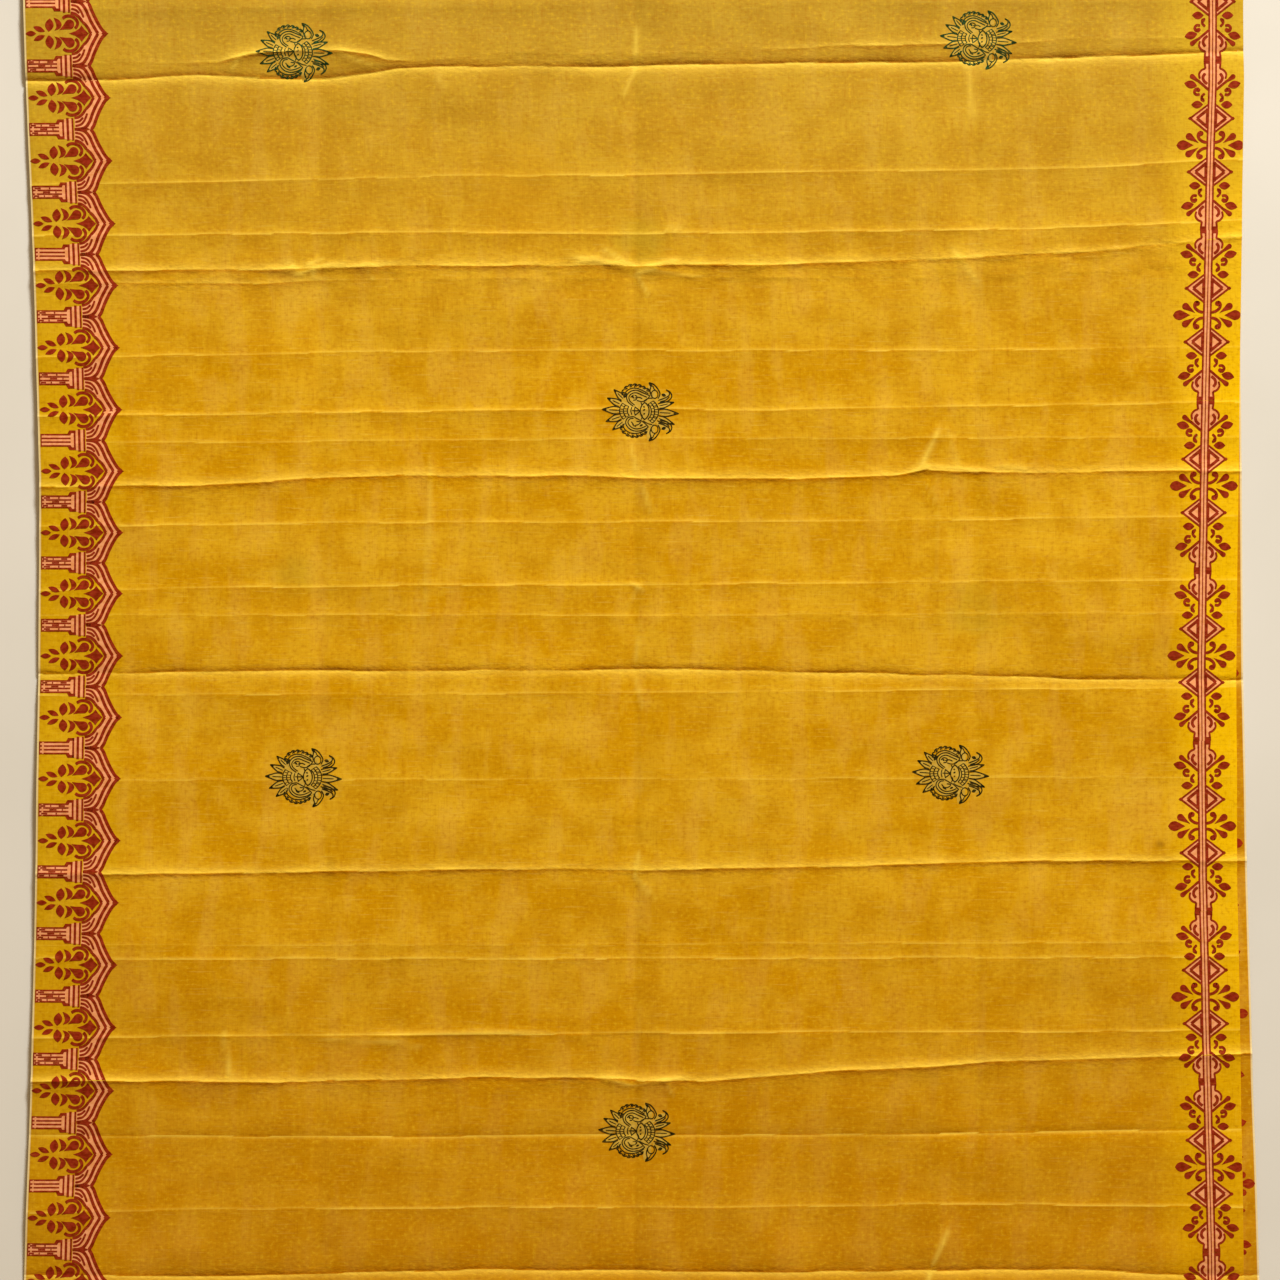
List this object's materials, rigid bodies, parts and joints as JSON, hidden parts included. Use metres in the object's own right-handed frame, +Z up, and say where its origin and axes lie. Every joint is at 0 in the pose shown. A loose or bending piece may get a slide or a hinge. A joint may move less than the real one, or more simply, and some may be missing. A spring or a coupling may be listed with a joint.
{
  "type": "saree",
  "caption": "Printed golden-yellow saree folded across its length and laid flat, with maroon block-printed borders and line-drawn medallions.",
  "frame": {"origin": "middle of the flat underside of the folded cloth", "axes": "+X across the cloth towards the selvedge with the floral border, +Y along it towards the outer fold, +Z up from the surface that it lies on"},
  "size_m": [1.215, 1.558, 0.009],
  "materials": {
    "printed_cloth": "plain-woven silk-cotton, piece dyed, soft sheen",
    "cloth_back": "wrong side of the same cloth, matt",
    "border_print": "maroon block print",
    "medallion_print": "dark green block print",
    "print_filling": "pale filling colour of the border print"
  },
  "bodies": {
    "root": {"top_layer": "printed_cloth", "second_layer": "cloth_back", "hidden_layers": "cloth_back", "outer_fold": "printed_cloth", "inner_fold": "cloth_back", "top_hem": "printed_cloth", "second_hem": "cloth_back"}
  },
  "joints": []
}
